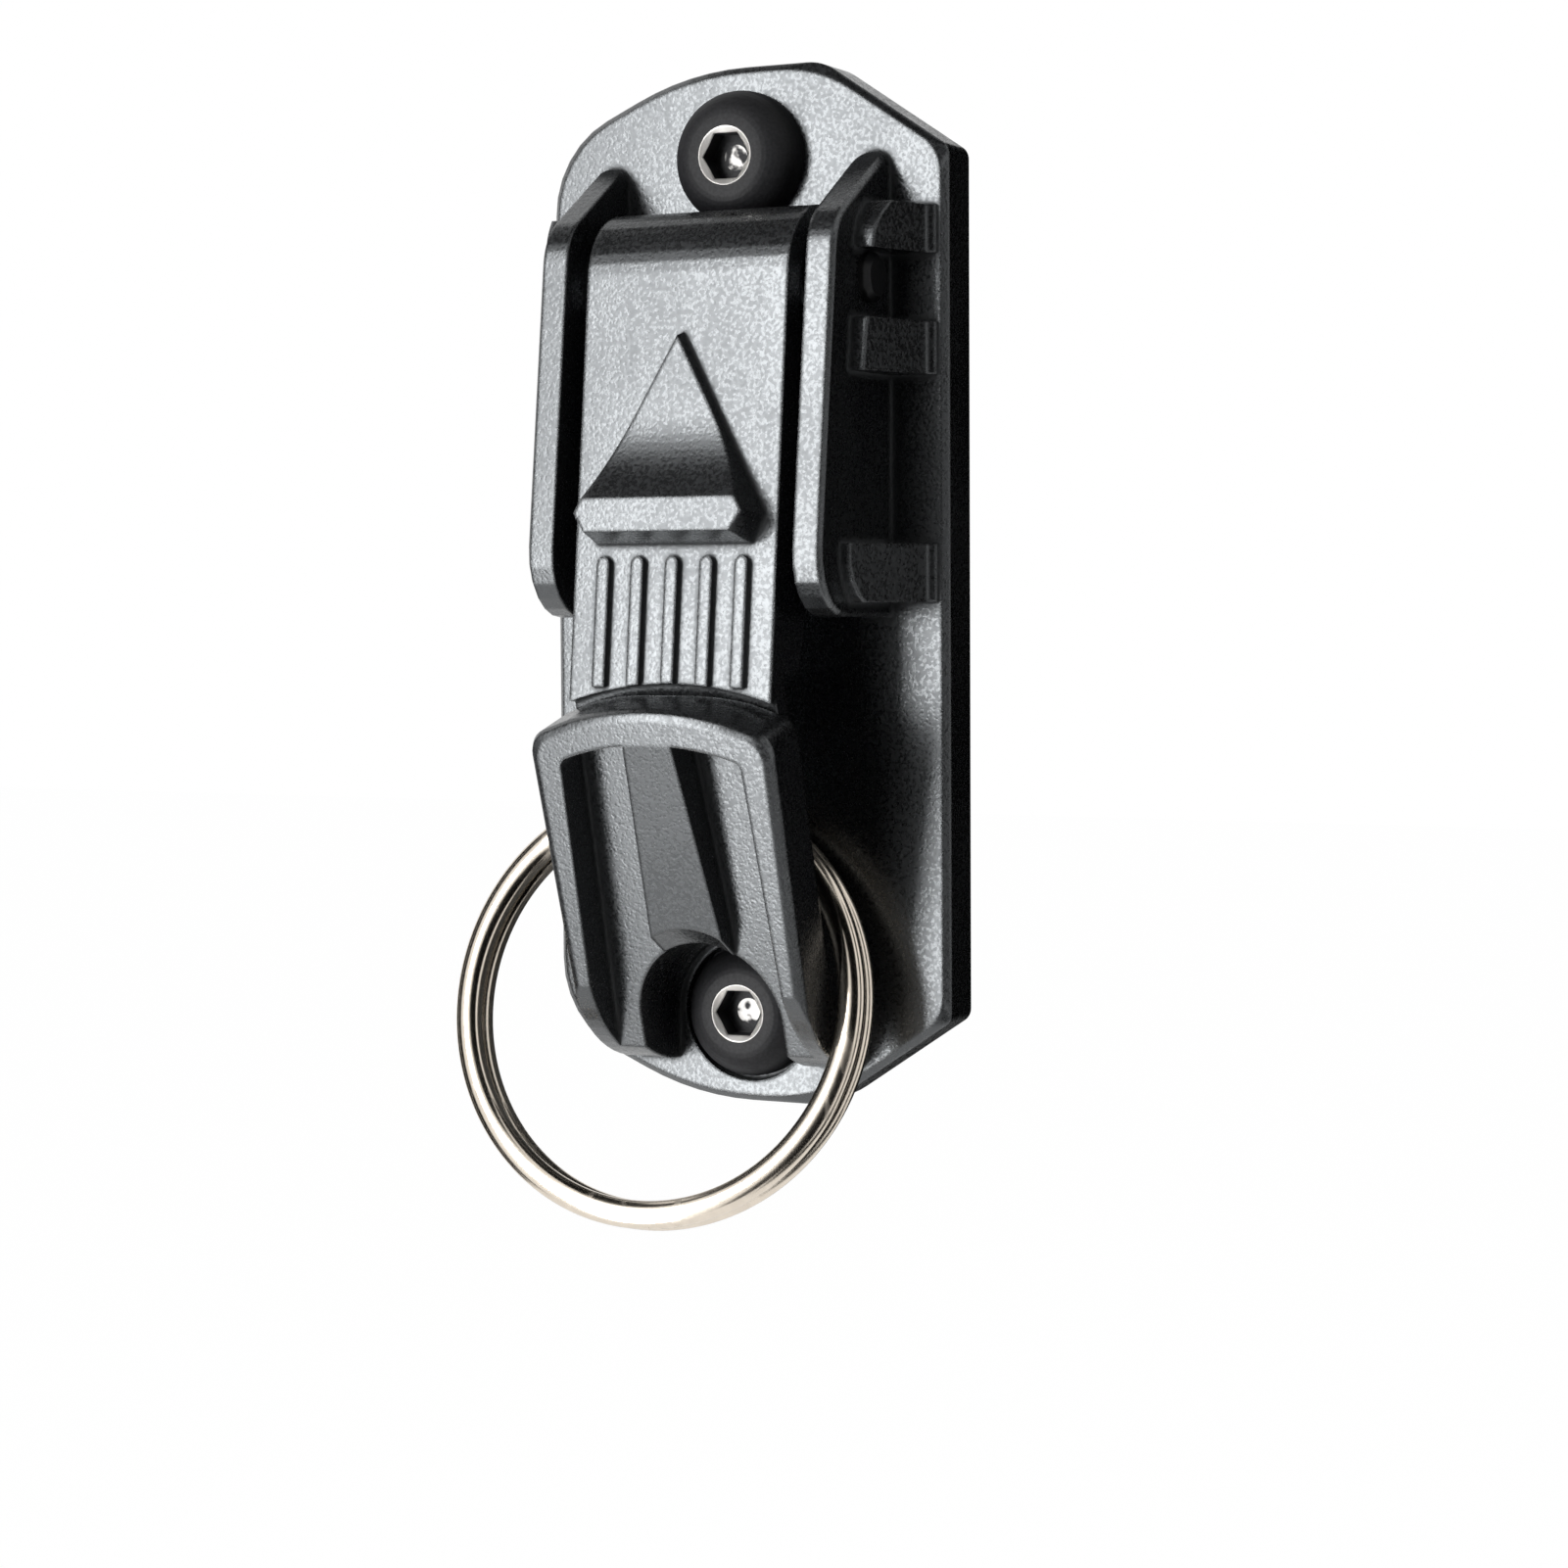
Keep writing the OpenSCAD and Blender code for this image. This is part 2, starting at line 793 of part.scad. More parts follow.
module gate_lever() {
    color(moulding_color)
        difference() {
            union() {
                gate_shell();
                gate_lip();
                both_sides() {
                    gate_flange();
                    gate_hub();
                }
                gate_arrow();
                intersection() {
                    gate_ribs();
                    on_gate()
                        translate([0, -(gate_l - gate_arch_rise) - gate_arch_r, 0])
                            difference() {
                                translate([-gate_w, 0, 0])
                                    cube([2 * gate_w, gate_arch_r + gate_l, 2 * roll_r]);
                                cylinder(h = 2 * roll_r, r = gate_arch_r, $fn = 128);
                            }
                }
            }
            bar_across(pin_r + pin_clear, -gate_w, gate_w);
            bar_forward(head_r + relief_clear, head_r + relief_clear, screw_z, 0, relief_d);
        }
}

module hinge_pin() {
    wall = cheek_span / 2;
    color(black_steel_color) {
        bar_across(pin_r, -wall - pin_head_t, wall);
        bar_across(pin_head_r, wall, wall + pin_head_t / 2);
        translate([wall + pin_head_t / 2, hinge_y, pin_z])
            rotate([0, 90, 0])
                cylinder(h = pin_head_t / 2, r1 = pin_head_r, r2 = pin_head_r - pin_head_t / 2);
    }
}

module pin_retainer() {
    wall = cheek_span / 2;
    color(black_steel_color)
        difference() {
            union() {
                bar_across(pin_head_r, -wall - pin_head_t / 2, -wall);
                translate([-wall - pin_head_t, hinge_y, pin_z])
                    rotate([0, 90, 0])
                        cylinder(h = pin_head_t / 2, r1 = pin_head_r - pin_head_t / 2, r2 = pin_head_r);
            }
            bar_across(pin_r + pin_seat_clear, -wall - 2 * pin_head_t, -wall + overrun);
        }
}

// The path of the torsion spring about the hinge: a leg that lies on the
// plate, the coils, and a leg that pushes the lever forward.
function spring_path() =
    let (
        steps = spring_coils * spring_rings,
        back_leg_d = spring_wire / 2 + spring_rest_gap,
        face_z = pin_z - spring_leg,
        face_d = gate_face_depth(face_z) - gate_skin / cos(gate_lean) - spring_wire / 2 - spring_rest_gap,
        coils = [
            for (i = [0 : steps])
                let (a = 360 * spring_coils * i / steps)
                [
                    spring_half * (2 * i / steps - 1),
                    hinge_y + coil_mean_r * cos(a),
                    pin_z + coil_mean_r * sin(a)
                ]
        ]
    )
    concat(
        [[-spring_half - spring_pitch / 4, front_y - back_leg_d, face_z]],
        coils,
        [[spring_half + spring_pitch / 4, front_y - face_d, face_z]]
    );

module torsion_spring() {
    r = spring_wire / 2;
    section = [for (k = [0 : 5]) r * [cos(60 * k), sin(60 * k)]];
    color(zinc_color)
        swept(spring_path(), section, [1, 0, 0]);
}

module button_screw(shank_l) {
    shank = [
        [0, -shank_l],
        [shank_r - screw_tip, -shank_l],
        [shank_r, screw_tip - shank_l],
        [shank_r, 0]
    ];
    dome = [
        for (i = [0 : head_dome_steps])
            let (a = 90 * i / head_dome_steps)
            [
                head_flat_r + (head_r - head_flat_r) * cos(a),
                head_rim_h + (head_h - head_rim_h) * sin(a)
            ]
    ];
    difference() {
        rotate_extrude()
            polygon(concat(shank, [[head_r, 0]], dome, [[0, head_h]]));
        translate([0, 0, head_h - socket_depth])
            cylinder(h = socket_depth + overrun, r = socket_af / 2 / cos(30), $fn = 6);
        translate([0, 0, head_h - socket_mouth_depth])
            cylinder(h = socket_mouth_depth, r1 = socket_af / 2, r2 = socket_mouth_r);
    }
}

module screw_at(z, d, shank_l) {
    translate([0, front_y - d, z])
        rotate([90, 0, 0])
            button_screw(shank_l);
}

module upper_screw() {
    color(black_steel_color)
        screw_at(screw_z, 0, upper_screw_l);
}

module lower_screw() {
    color(black_steel_color)
        screw_at(-screw_z, -seat_depth, lower_screw_l);
}

module spacer_at(z) {
    color(zinc_color)
        difference() {
            bar_forward(spacer_r, spacer_r, z, -plate_t - belt_gap, -plate_t);
            bar_forward(shank_hole_r, shank_hole_r, z, -plate_t - belt_gap - overrun, -plate_t + overrun);
        }
}

module upper_spacer() {
    spacer_at(screw_z);
}

module lower_spacer() {
    spacer_at(-screw_z);
}

// The outline of the back plate, drawn in by the given inset.
function back_outline(inset) =
    let (
        half_w = back_w / 2 - inset,
        half_h = back_h / 2 - inset,
        s = sin(back_corner_slope),
        c = cos(back_corner_slope),
        line = back_crown_half * s + back_h / 2 * c - inset,
        side_z = (line - half_w * s) / c,
        top_x = (line - half_h * c) / s
    )
    rounded(
        [
            [top_x, -half_h], [half_w, -side_z], [half_w, side_z], [top_x, half_h],
            [-top_x, half_h], [-half_w, side_z], [-half_w, -side_z], [-top_x, -half_h]
        ],
        [for (i = [0 : 7]) back_corner_r]
    );

module back_plate() {
    front_d = -plate_t - belt_gap;
    rear_d = front_d - back_t;
    seat_r = insert_r + insert_clear;
    color(moulding_color)
        difference() {
            hull() {
                forward(rear_d + back_edge, front_d)
                    polygon(back_outline(0));
                forward(rear_d, front_d)
                    polygon(back_outline(back_edge));
            }
            bar_forward(seat_r, seat_r, screw_z, rear_d - overrun, front_d + overrun);
            bar_forward(seat_r, seat_r, -screw_z, rear_d - overrun, front_d + overrun);
        }
}

module insert_at(z) {
    front_d = -plate_t - belt_gap;
    rear_d = front_d - back_t;
    groove_rear_d = (front_d + rear_d - insert_groove_w) / 2;
    groove_r = insert_r - insert_groove_depth;
    bore_r = shank_r + insert_bore_clear;
    color(brass_color)
        difference() {
            bar_forward(insert_r, insert_r, z, rear_d, front_d);
            bar_forward(bore_r, bore_r, z, rear_d - overrun, front_d + overrun);
            difference() {
                bar_forward(2 * insert_r, 2 * insert_r, z, groove_rear_d, groove_rear_d + insert_groove_w);
                bar_forward(groove_r, groove_r, z, rear_d, front_d);
            }
        }
}

module upper_insert() {
    insert_at(screw_z);
}

module lower_insert() {
    insert_at(-screw_z);
}

// Height of the ring's wire above its middle plane, at an angle along it.
function ring_rise(a) =
    let (
        from = 360 - ring_joint_half,
        share = min(1, max(0, (a - from) / (2 * ring_joint_half)))
    )
    ring_pitch * (share * share * (3 - 2 * share) - 1 / 2);

function ring_path() =
    let (
        from = ring_end_angle,
        to = 720 - ring_end_angle,
        count = round((to - from) * ring_steps / 360)
    )
    [
        for (i = [0 : count])
            let (a = from + (to - from) * i / count)
            [ring_mid_r * cos(a + ring_joint_angle), ring_mid_r * sin(a + ring_joint_angle), ring_rise(a)]
    ];

function ring_section() =
    let (
        a = ring_wire_w / 2,
        b = ring_wire_t / 2,
        c = ring_bevel
    )
    [[a, c - b], [a, b - c], [a - c, b], [c - a, b], [-a, b - c], [-a, c - b], [c - a, -b], [a - c, -b]];

module split_ring() {
    color(nickel_color)
        translate([ring_x, front_y - ring_centre_d, ring_z])
            rotate([0, 0, ring_yaw])
                rotate([90 - ring_tilt, 0, 0])
                    swept(ring_path(), ring_section(), [0, 0, 1]);
}

// The least gaps between neighbouring turns, measured on the paths' points.
spring_points = spring_path();
spring_gap = min([
    for (i = [0 : len(spring_points) - 1], j = [i + spring_rings / 2 : 1 : len(spring_points) - 1])
        norm(spring_points[i] - spring_points[j])
]) - spring_wire;
ring_points = ring_path();
ring_gap = min([
    for (i = [0 : len(ring_points) - 1], j = [i + ring_steps / 2 : 1 : len(ring_points) - 1])
        norm(ring_points[i] - ring_points[j])
]) - ring_wire_t;
echo(spring_gap = spring_gap, ring_gap = ring_gap);

front_body();
gate_lever();
hinge_pin();
pin_retainer();
torsion_spring();
upper_screw();
lower_screw();
upper_spacer();
lower_spacer();
back_plate();
upper_insert();
lower_insert();
split_ring();
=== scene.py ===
"""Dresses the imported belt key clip: moulded nylon, black screws, a sprung lever and a nickel ring."""

import logging
import math
from dataclasses import dataclass
from enum import Enum

import bmesh
import bpy
from mathutils import Matrix, Vector


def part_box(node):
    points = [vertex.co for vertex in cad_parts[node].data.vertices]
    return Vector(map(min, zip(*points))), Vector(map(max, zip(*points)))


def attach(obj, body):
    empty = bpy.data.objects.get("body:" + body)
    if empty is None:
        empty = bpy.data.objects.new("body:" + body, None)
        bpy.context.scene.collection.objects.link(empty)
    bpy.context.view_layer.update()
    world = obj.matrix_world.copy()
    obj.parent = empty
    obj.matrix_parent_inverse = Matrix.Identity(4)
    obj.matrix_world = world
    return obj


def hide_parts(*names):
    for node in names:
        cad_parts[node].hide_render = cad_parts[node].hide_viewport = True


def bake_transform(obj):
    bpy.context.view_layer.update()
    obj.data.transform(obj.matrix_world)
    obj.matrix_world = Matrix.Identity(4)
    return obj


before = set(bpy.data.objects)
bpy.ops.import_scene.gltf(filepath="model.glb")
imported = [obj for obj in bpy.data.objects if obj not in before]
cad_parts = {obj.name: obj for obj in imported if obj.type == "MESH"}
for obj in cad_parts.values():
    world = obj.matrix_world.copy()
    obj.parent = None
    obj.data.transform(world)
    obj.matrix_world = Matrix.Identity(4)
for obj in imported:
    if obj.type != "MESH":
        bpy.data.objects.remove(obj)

MM = 0.001
FULL_TURN = 360
LOG = logging.getLogger("belt_key_clip")

Colour = tuple[float, float, float]


class Body(Enum):
    """The moving bodies of the clip."""

    CLIP = "clip"
    GATE = "gate"
    RING = "ring"


class Slot(Enum):
    """Material slot names from the record, for the ring and the spring; nothing in this script reads
    them.
    """

    NICKEL = "nickel"
    SPRING_STEEL = "spring_steel"


class Kind(Enum):
    """The kinds of socket on a shader group."""

    VALUE = "NodeSocketFloat"
    VECTOR = "NodeSocketVector"


class Nodes:
    """Adds and links the nodes of a material, a world or a shader group."""

    # Where the Mix node has its share and its two colours, and where it puts out the result.
    mix_inputs = (0, 6, 7)
    mix_output = 2

    def __init__(self, tree: bpy.types.NodeTree) -> None:
        """Keeps the tree that nodes are added to."""
        self.tree = tree

    def add(self, kind: str, **settings: object) -> bpy.types.Node:
        """Adds a node.

        Args:
            kind: the node's type name, without its ShaderNode prefix.
            settings: the node's own settings.

        Returns:
            The new node.
        """
        node = self.tree.nodes.new("ShaderNode" + kind)
        for name, value in settings.items():
            setattr(node, name, value)
        return node

    def feed(self, target: bpy.types.NodeSocket, source: object) -> None:
        """Links a socket to the target, or sets the target to a plain value."""
        if isinstance(source, bpy.types.NodeSocket):
            self.tree.links.new(source, target)
        else:
            target.default_value = source

    def math(self, operation: str, *values: object, clamp: bool = False) -> bpy.types.NodeSocket:
        """Adds a Math node.

        Args:
            operation: what the node does.
            values: its one, two or three sockets or numbers.
            clamp: whether the result stays between 0 and 1.

        Returns:
            The result's socket.
        """
        node = self.add("Math", operation=operation, use_clamp=clamp)
        for target, value in zip(node.inputs, values):
            self.feed(target, value)
        return node.outputs[0]

    def swing(self, value: object, reach: float) -> bpy.types.NodeSocket:
        """Turns a value from 0 to 1 into one from minus reach to reach."""
        return self.math("MULTIPLY", self.math("SUBTRACT", value, 0.5), 2 * reach)

    def vector_math(self, operation: str, *values: object) -> bpy.types.Node:
        """Adds a Vector Math node and returns it."""
        node = self.add("VectorMath", operation=operation)
        for target, value in zip(node.inputs, values):
            self.feed(target, value)
        return node

    def mix(self, share: object, first: object, second: object) -> bpy.types.NodeSocket:
        """Mixes two colours.

        Args:
            share: how much of the second colour there is.
            first: the first colour.
            second: the second colour.

        Returns:
            The mixed colour's socket.
        """
        node = self.add("Mix", data_type="RGBA")
        for place, value in zip(self.mix_inputs, (share, first, second)):
            self.feed(node.inputs[place], value)
        return node.outputs[self.mix_output]

    def ranged(
        self, value: object, start: float, end: float, low: float = 0.0, high: float = 1.0
    ) -> bpy.types.NodeSocket:
        """Maps a value smoothly onto another range.

        Args:
            value: the value that is mapped.
            start: the value that gives low.
            end: the value that gives high.
            low: the result at start.
            high: the result at end.

        Returns:
            The result's socket.
        """
        node = self.add("MapRange", interpolation_type="SMOOTHSTEP")
        for target, item in zip(node.inputs, (value, start, end, low, high)):
            self.feed(target, item)
        return node.outputs["Result"]

    def noise(self, place: object, scale: object, detail: float = 2.0) -> bpy.types.NodeSocket:
        """Adds a Noise texture.

        Args:
            place: the coordinates that it reads, in metres.
            scale: how many waves there are to the metre.
            detail: its number of octaves.

        Returns:
            The noise's value.
        """
        node = self.add("TexNoise")
        for name, item in (("Vector", place), ("Scale", scale), ("Detail", detail)):
            self.feed(node.inputs[name], item)
        return node.outputs["Fac"]


class ShaderGroup:
    """A shader node group with named sockets, built once and placed in many materials."""

    name = "group"
    inputs: dict[str, tuple[Kind, float]] = {}
    outputs: dict[str, Kind] = {}

    def __init__(self) -> None:
        """Makes the group's tree and its sockets, and fills it."""
        self.tree = bpy.data.node_groups.new(self.name, "ShaderNodeTree")
        self.tree.interface.new_socket(name="Place", in_out="INPUT", socket_type=Kind.VECTOR.value)
        for name, (kind, value) in self.inputs.items():
            socket = self.tree.interface.new_socket(name=name, in_out="INPUT", socket_type=kind.value)
            socket.default_value = value
        for name, kind in self.outputs.items():
            self.tree.interface.new_socket(name=name, in_out="OUTPUT", socket_type=kind.value)
        ends = self.tree.nodes.new("NodeGroupInput"), self.tree.nodes.new("NodeGroupOutput")
        self.fill(Nodes(self.tree), ends[0].outputs, ends[1].inputs)

    def fill(self, nodes: Nodes, ins: bpy.types.NodeOutputs, outs: bpy.types.NodeInputs) -> None:
        """Builds what is inside the group, between its inputs and its outputs."""
        raise NotImplementedError

    def place(self, nodes: Nodes, coordinates: object, **values: float) -> bpy.types.NodeOutputs:
        """Places the group in a material.

        Args:
            nodes: the material's nodes.
            coordinates: the coordinates that the group reads.
            values: the group's other inputs by name.

        Returns:
            The group's outputs.
        """
        node = nodes.add("Group", node_tree=self.tree)
        nodes.feed(node.inputs["Place"], coordinates)
        for name, value in values.items():
            nodes.feed(node.inputs[name], value)
        return node.outputs


class PebbleGrain(ShaderGroup):
    """The spark-eroded grain of a moulding tool: small round pebbles with finer grit between them."""

    name = "pebble_grain"
    inputs = {"Scale": (Kind.VALUE, 3000.0)}
    outputs = {"Height": Kind.VALUE, "Grit": Kind.VALUE}
    smoothness = 0.35
    grit_scale = 0.8
    grit_detail = 1.0
    grit_range = (0.35, 0.65)
    height_share = 0.6

    def fill(self, nodes: Nodes, ins: bpy.types.NodeOutputs, outs: bpy.types.NodeInputs) -> None:
        """Adds rounded cells and grit, and puts out their height and a grit mask."""
        cells = nodes.add("TexVoronoi", feature="SMOOTH_F1")
        cells.inputs["Smoothness"].default_value = self.smoothness
        nodes.feed(cells.inputs["Vector"], ins["Place"])
        nodes.feed(cells.inputs["Scale"], ins["Scale"])
        pebble = nodes.math("SUBTRACT", 1.0, cells.outputs["Distance"])
        scale = nodes.math("MULTIPLY", ins["Scale"], self.grit_scale)
        grit = nodes.noise(ins["Place"], scale, self.grit_detail)
        both = nodes.math("ADD", pebble, grit)
        nodes.feed(outs["Height"], nodes.math("MULTIPLY", both, self.height_share))
        nodes.feed(outs["Grit"], nodes.ranged(grit, *self.grit_range))


class HandlingWear(ShaderGroup):
    """Broad soft patches that hands and cloth have polished or dulled, and fine hairline scuffs."""

    name = "handling_wear"
    inputs = {"Patch Scale": (Kind.VALUE, 90.0), "Scuff Scale": (Kind.VALUE, 600.0)}
    outputs = {"Patches": Kind.VALUE, "Scuffs": Kind.VALUE}
    patch_detail = 4.0
    patch_range = (0.32, 0.68)
    scuff_stretch = (1.0, 1.0, 0.12)
    scuff_detail = 2.0
    scuff_range = (0.6, 0.72)

    def fill(self, nodes: Nodes, ins: bpy.types.NodeOutputs, outs: bpy.types.NodeInputs) -> None:
        """Adds the patches and the scuffs, each from 0 to 1."""
        patch = nodes.noise(ins["Place"], ins["Patch Scale"], self.patch_detail)
        nodes.feed(outs["Patches"], nodes.ranged(patch, *self.patch_range))
        stretch = nodes.vector_math("MULTIPLY", ins["Place"], self.scuff_stretch)
        scuff = nodes.noise(stretch.outputs[0], ins["Scuff Scale"], self.scuff_detail)
        nodes.feed(outs["Scuffs"], nodes.ranged(scuff, *self.scuff_range))


class EasedEdges(ShaderGroup):
    """Edges eased to a small radius, and a mask of them from how far the eased normal turns away."""

    name = "eased_edges"
    inputs = {"Radius": (Kind.VALUE, 0.4 * MM)}
    outputs = {"Mask": Kind.VALUE, "Normal": Kind.VECTOR}
    samples = 6
    turned_range = (0.995, 0.9)
    break_scale = 700.0
    break_detail = 3.0
    break_range = (0.3, 0.6, 0.35, 1.0)

    def fill(self, nodes: Nodes, ins: bpy.types.NodeOutputs, outs: bpy.types.NodeInputs) -> None:
        """Compares the eased normal with the real one and breaks the edge line up with noise."""
        rounded = nodes.add("Bevel", samples=self.samples)
        nodes.feed(rounded.inputs["Radius"], ins["Radius"])
        real = nodes.add("NewGeometry").outputs["Normal"]
        cosine = nodes.vector_math("DOT_PRODUCT", rounded.outputs["Normal"], real).outputs["Value"]
        turned = nodes.ranged(cosine, *self.turned_range)
        speckle = nodes.noise(ins["Place"], self.break_scale, self.break_detail)
        broken = nodes.ranged(speckle, *self.break_range)
        nodes.feed(outs["Mask"], nodes.math("MULTIPLY", turned, broken))
        nodes.feed(outs["Normal"], rounded.outputs["Normal"])


class Crevices(ShaderGroup):
    """A mask of hollow corners, where nothing rubs and fine dust stays."""

    name = "crevices"
    inputs = {"Reach": (Kind.VALUE, 0.7 * MM)}
    outputs = {"Mask": Kind.VALUE}
    samples = 6
    open_range = (0.9, 0.6)

    def fill(self, nodes: Nodes, ins: bpy.types.NodeOutputs, outs: bpy.types.NodeInputs) -> None:
        """Finds how much of the surroundings the same piece hides from each point."""
        openness = nodes.add("AmbientOcclusion", samples=self.samples, only_local=True)
        nodes.feed(openness.inputs["Distance"], ins["Reach"])
        nodes.feed(outs["Mask"], nodes.ranged(openness.outputs["AO"], *self.open_range))


@dataclass(frozen=True)
class Groups:
    """The shader groups that the finishes share."""

    grain: PebbleGrain
    wear: HandlingWear
    edges: EasedEdges
    crevices: Crevices


@dataclass(frozen=True)
class Finish:
    """What every finish has: its name and the values of its surface."""

    name: str
    colour: Colour
    # Lighter colour of worn patches and edges; on the edges it is partly real wear and partly a painted
    # edge highlight.
    wear_and_edge_highlight_colour: Colour
    roughness: float
    metallic: float = 0.0
    specular: float = 0.5
    tint: Colour = (1.0, 1.0, 1.0)
    grain_scale: float = 3000.0
    grain_depth: float = 0.02 * MM
    grain_tone: float = 0.2
    grain_roughness: float = 0.0
    patch_tone: float = 0.1
    patch_roughness: float = 0.05
    scuff_roughness: float = 0.08
    edge_radius: float = 0.35 * MM
    edge_wear_and_highlight_share: float = 0.5
    edge_roughness: float = -0.08
    crevice_roughness: float = 0.0
    ior: float = 1.5

    def material(self, groups: Groups) -> bpy.types.Material:
        """Builds the material.

        Args:
            groups: the shader groups that it places.

        Returns:
            The new material.
        """
        made = bpy.data.materials.new(self.name)
        made.use_nodes = True
        made.node_tree.nodes.clear()
        nodes = Nodes(made.node_tree)
        out = nodes.add("OutputMaterial")
        shader = nodes.add("BsdfPrincipled")
        nodes.feed(out.inputs["Surface"], shader.outputs["BSDF"])
        self.surface(nodes, shader.inputs, groups)
        return made

    def surface(self, nodes: Nodes, shader: bpy.types.NodeInputs, groups: Groups) -> None:
        """Feeds the shader's colour, roughness and bump.

        Args:
            nodes: the material's nodes.
            shader: the Principled shader's inputs.
            groups: the shader groups that are placed.
        """
        place = nodes.add("TexCoord").outputs["Object"]
        grain = groups.grain.place(nodes, place, Scale=self.grain_scale)
        wear = groups.wear.place(nodes, place)
        eased = groups.edges.place(nodes, place, Radius=self.edge_radius)
        edge = eased["Mask"]
        dark = tuple(c * (1 - self.grain_tone) for c in self.colour)
        light = tuple(c * (1 + self.grain_tone) for c in self.colour)
        flecked = nodes.mix(grain["Grit"], (*dark, 1.0), (*light, 1.0))
        # Patches and edges are lightened towards this colour: handling wear, and on the edges also a
        # painted edge highlight.
        wear_and_highlight_rgba = (*self.wear_and_edge_highlight_colour, 1.0)
        polish = nodes.math("MULTIPLY", wear["Patches"], self.patch_tone)
        patched = nodes.mix(polish, flecked, wear_and_highlight_rgba)
        # Eased edges take the lighter colour: edge wear plus a painted edge highlight, shown whatever the
        # light.
        share = nodes.math("MULTIPLY", edge, self.edge_wear_and_highlight_share)
        nodes.feed(shader["Base Color"], nodes.mix(share, patched, wear_and_highlight_rgba))
        patch = nodes.swing(wear["Patches"], self.patch_roughness)
        scuff = nodes.math("MULTIPLY", wear["Scuffs"], self.scuff_roughness)
        worn = nodes.math("MULTIPLY", edge, self.edge_roughness)
        mottle = nodes.swing(grain["Grit"], self.grain_roughness)
        used = nodes.math("ADD", nodes.math("ADD", patch, scuff), worn)
        total = nodes.math("ADD", nodes.math("ADD", used, mottle), self.roughness)
        if self.crevice_roughness:
            hollow = groups.crevices.place(nodes, place)["Mask"]
            total = nodes.math("ADD", total, nodes.math("MULTIPLY", hollow, self.crevice_roughness))
        nodes.feed(shader["Roughness"], nodes.math("MINIMUM", total, 1.0, clamp=True))
        shader["Metallic"].default_value = self.metallic
        shader["IOR"].default_value = self.ior
        shader["Specular IOR Level"].default_value = self.specular
        shader["Specular Tint"].default_value = (*self.tint, 1.0)
        bump = nodes.add("Bump")
        bump.inputs["Distance"].default_value = self.grain_depth
        nodes.feed(bump.inputs["Height"], grain["Height"])
        nodes.feed(bump.inputs["Normal"], eased["Normal"])
        nodes.feed(shader["Normal"], bump.outputs["Normal"])


@dataclass(frozen=True)
class SocketedSteel(Finish):
    """Blackened steel whose hexagon socket is worn bare on its mouth and in patches of its floor."""

    axis_height: float = 0.0
    face_y: float = 0.0
    mouth_radius: float = 2.27 * MM
    mouth_depth: float = 0.37 * MM
    floor_radius: float = 1.0 * MM
    floor_depth: float = 2.0 * MM
    floor_margin: float = 0.15 * MM
    floor_share: float = 0.6
    rub_scale: float = 1100.0
    rub_range: tuple[float, float] = (0.42, 0.58)
    bare_colour: Colour = (0.85, 0.83, 0.8)

    def surface(self, nodes: Nodes, shader: bpy.types.NodeInputs, groups: Groups) -> None:
        """Adds the bare mouth and the rubbed floor to the black surface.

        Args:
            nodes: the material's nodes.
            shader: the Principled shader's inputs.
            groups: the shader groups that are placed.
        """
        super().surface(nodes, shader, groups)
        parts = nodes.add("SeparateXYZ")
        place = nodes.add("TexCoord").outputs["Object"]
        nodes.feed(parts.inputs[0], place)
        up = nodes.math("SUBTRACT", parts.outputs["Z"], self.axis_height)
        depth = nodes.math("SUBTRACT", parts.outputs["Y"], self.face_y)
        across = nodes.math("MULTIPLY", parts.outputs["X"], parts.outputs["X"])
        radius = nodes.math("SQRT", nodes.math("ADD", nodes.math("MULTIPLY", up, up), across))
        near = nodes.math("LESS_THAN", depth, self.mouth_depth)
        mouth = nodes.math("MULTIPLY", nodes.math("LESS_THAN", radius, self.mouth_radius), near)
        deep = nodes.math("COMPARE", depth, self.floor_depth, self.floor_margin)
        floor = nodes.math("MULTIPLY", nodes.math("LESS_THAN", radius, self.floor_radius), deep)
        rubbed = nodes.ranged(nodes.noise(place, self.rub_scale), *self.rub_range, 0.0, self.floor_share)
        bare = nodes.math("MAXIMUM", mouth, nodes.math("MULTIPLY", floor, rubbed))
        black = shader["Base Color"].links[0].from_socket
        nodes.feed(shader["Base Color"], nodes.mix(bare, black, (*self.bare_colour, 1.0)))
        nodes.feed(shader["Metallic"], bare)


